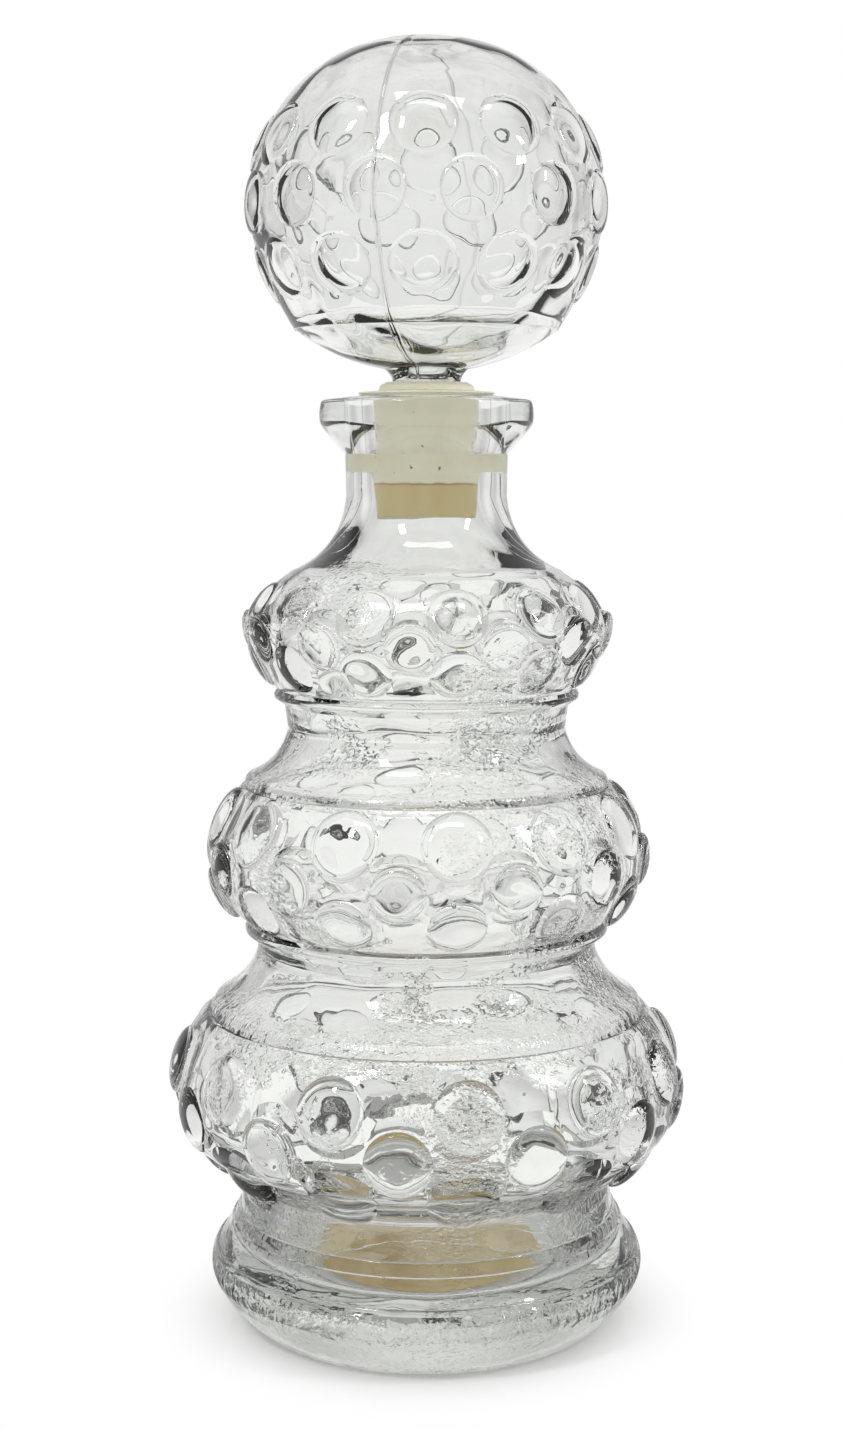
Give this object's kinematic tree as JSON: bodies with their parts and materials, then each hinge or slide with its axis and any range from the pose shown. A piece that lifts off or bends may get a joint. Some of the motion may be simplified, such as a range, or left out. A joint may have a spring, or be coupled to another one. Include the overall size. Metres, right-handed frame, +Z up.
{
  "type": "glass decanter",
  "caption": "Tall clear glass decanter of stacked, dotted tiers on a round base, closed by a hollow ball stopper in a cream plastic sleeve.",
  "frame": {"origin": "on the table at the middle of the bottle's foot ring", "axes": "+Z up along the bottle's axis, -Y towards the viewer of the picture, +X to the viewer's right"},
  "size_m": [0.132, 0.132, 0.325],
  "materials": {
    "bottle_glass": "clear moulded glass, fire polished, with a faint grey-green tint in thick edges",
    "stopper_glass": "clear blown glass with a mould seam, open at the stem",
    "sleeve_plastic": "aged cream polyethylene, slightly translucent, with brown specks",
    "label_paper": "plain aged tan paper without print"
  },
  "bodies": {
    "bottle": {"bottle": "bottle_glass", "base_label": "label_paper"},
    "sleeve": {"stopper_sleeve": "sleeve_plastic"},
    "ball": {"ball_stopper": "stopper_glass"}
  },
  "joints": [
    {"name": "stopper_lift", "type": "slide", "parent": "bottle", "child": "sleeve", "axis": [0, 0, 1], "range_m": [0, 0.08]},
    {"name": "ball_twist", "type": "hinge", "parent": "sleeve", "child": "ball", "pos_m": [0, 0, 0.2412], "axis": [0, 0, 1], "continuous": true}
  ]
}
